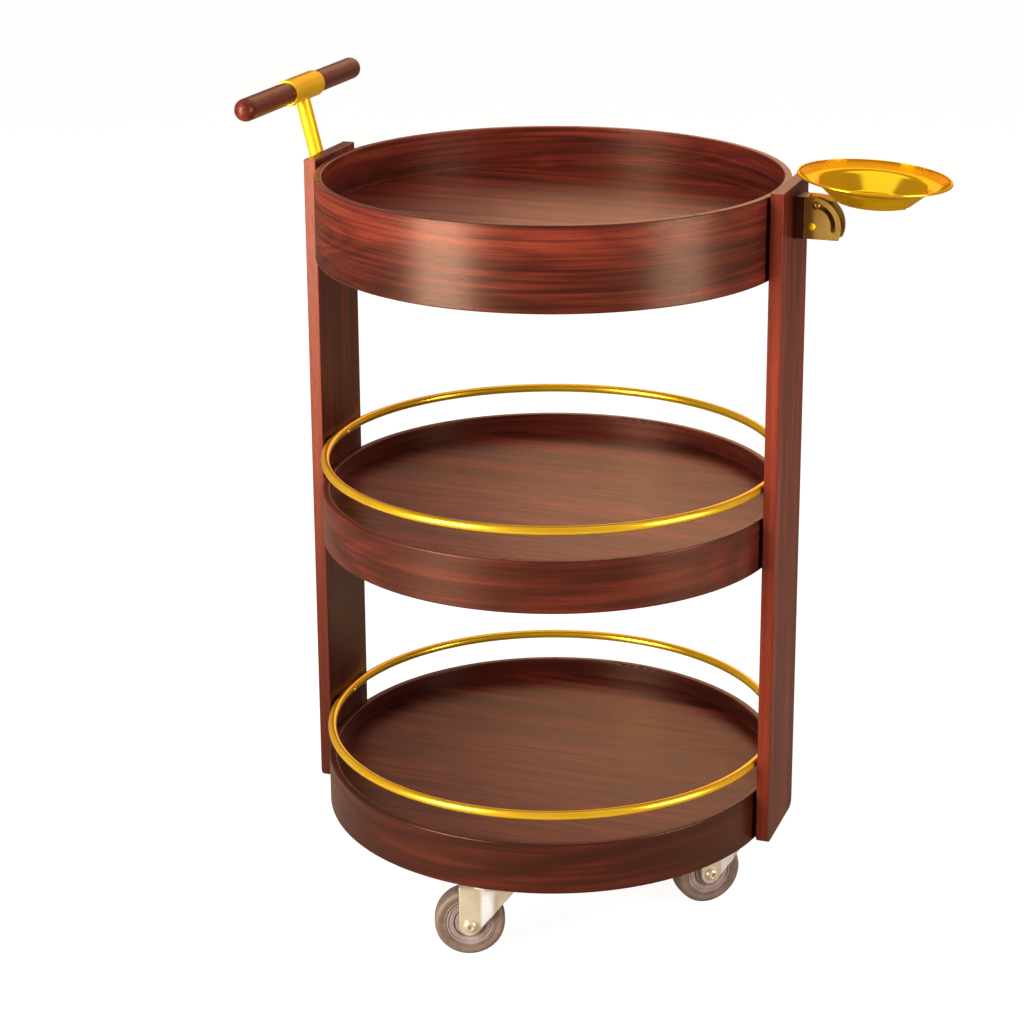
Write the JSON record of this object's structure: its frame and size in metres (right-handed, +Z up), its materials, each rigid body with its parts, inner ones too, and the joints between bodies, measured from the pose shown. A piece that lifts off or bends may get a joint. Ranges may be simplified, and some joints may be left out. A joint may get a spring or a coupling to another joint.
{
  "type": "bar cart",
  "caption": "Round serving cart with wooden hoop trays held between flat side posts, brass guard rings, a push handle, a fold-down brass dish and swivel casters.",
  "frame": {"origin": "on the ground, under the centre of the whole cart's box, with the handle and dish counted", "axes": "+Z up, +X from the handle towards the dish, +Y from front to back"},
  "size_m": [0.7232, 0.5014, 0.891],
  "materials": {
    "wood": "dark red-brown satin lacquer over open grain",
    "brass": "polished and lacquered",
    "steel": "bright zinc plate",
    "hub": "satin grey-brown",
    "tyre": "matt grey-brown"
  },
  "bodies": {
    "cart": {"top_hoop": "wood", "top_floor": "wood", "middle_hoop": "wood", "middle_floor": "wood", "bottom_hoop": "wood", "bottom_floor": "wood", "left_post": "wood", "right_post": "wood", "middle_guard_ring": "brass", "bottom_guard_ring": "brass", "hoop_screws": "steel", "guard_ring_screws": "brass", "handle_foot_screws": "brass", "dish_bracket_screws": "brass", "handle_collar_screws": "brass", "caster_plate_screws": "steel", "handle_stem": "brass", "handle_collar": "brass", "handle_grip": "wood", "dish_block": "wood", "dish_bracket": "brass", "dish_pivot_pin": "brass", "caster_pads": "wood", "caster_front_plate": "steel", "caster_front_race": "steel", "caster_front_kingpin": "steel", "caster_right_plate": "steel", "caster_right_race": "steel", "caster_right_kingpin": "steel", "caster_back_plate": "steel", "caster_back_race": "steel", "caster_back_kingpin": "steel", "caster_left_plate": "steel", "caster_left_race": "steel", "caster_left_kingpin": "steel"},
    "swivel_front": {"caster_front_fork": "steel", "caster_front_axle": "steel", "caster_front_nut": "steel"},
    "wheel_front": {"caster_front_hub": "hub", "caster_front_tyre": "tyre"},
    "swivel_right": {"caster_right_fork": "steel", "caster_right_axle": "steel", "caster_right_nut": "steel"},
    "wheel_right": {"caster_right_hub": "hub", "caster_right_tyre": "tyre"},
    "swivel_back": {"caster_back_fork": "steel", "caster_back_axle": "steel", "caster_back_nut": "steel"},
    "wheel_back": {"caster_back_hub": "hub", "caster_back_tyre": "tyre"},
    "swivel_left": {"caster_left_fork": "steel", "caster_left_axle": "steel", "caster_left_nut": "steel"},
    "wheel_left": {"caster_left_hub": "hub", "caster_left_tyre": "tyre"},
    "dish": {"dish_arm": "brass", "dish_guide_pin": "brass", "brass_dish": "brass", "dish_rivets": "brass"}
  },
  "joints": [
    {"name": "swivel_front_turn", "type": "hinge", "parent": "cart", "child": "swivel_front", "pos_m": [-0.0596, -0.2, 0.0825], "axis": [0, 0, 1], "continuous": true},
    {"name": "wheel_front_roll", "type": "hinge", "parent": "swivel_front", "child": "wheel_front", "pos_m": [-0.08093, -0.20862, 0.0375], "axis": [0.3746, -0.9272, 0], "continuous": true},
    {"name": "swivel_right_turn", "type": "hinge", "parent": "cart", "child": "swivel_right", "pos_m": [0.1404, 0, 0.0825], "axis": [0, 0, 1], "continuous": true},
    {"name": "wheel_right_roll", "type": "hinge", "parent": "swivel_right", "child": "wheel_right", "pos_m": [0.12304, -0.01509, 0.0375], "axis": [0.6561, -0.7547, 0], "continuous": true},
    {"name": "swivel_back_turn", "type": "hinge", "parent": "cart", "child": "swivel_back", "pos_m": [-0.0596, 0.2, 0.0825], "axis": [0, 0, 1], "continuous": true},
    {"name": "wheel_back_roll", "type": "hinge", "parent": "swivel_back", "child": "wheel_back", "pos_m": [-0.07991, 0.1892, 0.0375], "axis": [0.4695, -0.8829, 0], "continuous": true},
    {"name": "swivel_left_turn", "type": "hinge", "parent": "cart", "child": "swivel_left", "pos_m": [-0.2596, 0, 0.0825], "axis": [0, 0, 1], "continuous": true},
    {"name": "wheel_left_roll", "type": "hinge", "parent": "swivel_left", "child": "wheel_left", "pos_m": [-0.25099, 0.02133, 0.0375], "axis": [-0.9272, 0.3746, 0], "continuous": true},
    {"name": "dish_fold", "type": "hinge", "parent": "cart", "child": "dish", "pos_m": [0.2219, 0, 0.7705], "axis": [0, 1, 0], "range_deg": [0, 85]}
  ]
}
